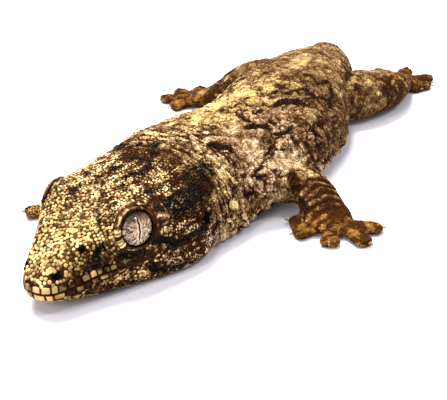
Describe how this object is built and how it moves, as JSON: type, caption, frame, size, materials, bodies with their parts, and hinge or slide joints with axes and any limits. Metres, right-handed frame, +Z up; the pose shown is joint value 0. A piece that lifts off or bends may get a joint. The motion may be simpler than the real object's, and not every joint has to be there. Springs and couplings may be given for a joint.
{
  "type": "gecko",
  "caption": "Baby giant gecko lying flat on its belly, blunt head low, legs spread, thick short tail curled to its right; a still life-size animal",
  "frame": {"origin": "on the floor plane, under the middle of the belly, at the face of the mount belly_rest", "axes": "the animal faces -Y, its left side is +X, +Z is up; the floor it lies on is z = 0"},
  "size_m": [0.053, 0.0937, 0.0115],
  "materials": {
    "skin": "dry granular reptile skin, cream and tan with dark brown mottling",
    "eye": "wet glossy eye with a silvery veined iris and an upright slit",
    "foot_skin": "dry granular reptile skin, ochre brown, with small dark claws"
  },
  "bodies": {
    "root": {"head": "skin", "lower_jaw": "skin", "eye_left": "eye", "eye_right": "eye", "neck": "skin", "chest": "skin", "belly": "skin", "hips": "skin", "tail_base": "skin", "tail_tip": "skin", "upper_arm_left": "skin", "forearm_left": "skin", "hand_left": "foot_skin", "upper_arm_right": "skin", "forearm_right": "skin", "hand_right": "foot_skin", "thigh_left": "skin", "shank_left": "skin", "foot_left": "foot_skin", "thigh_right": "skin", "shank_right": "skin", "foot_right": "foot_skin"}
  },
  "joints": []
}
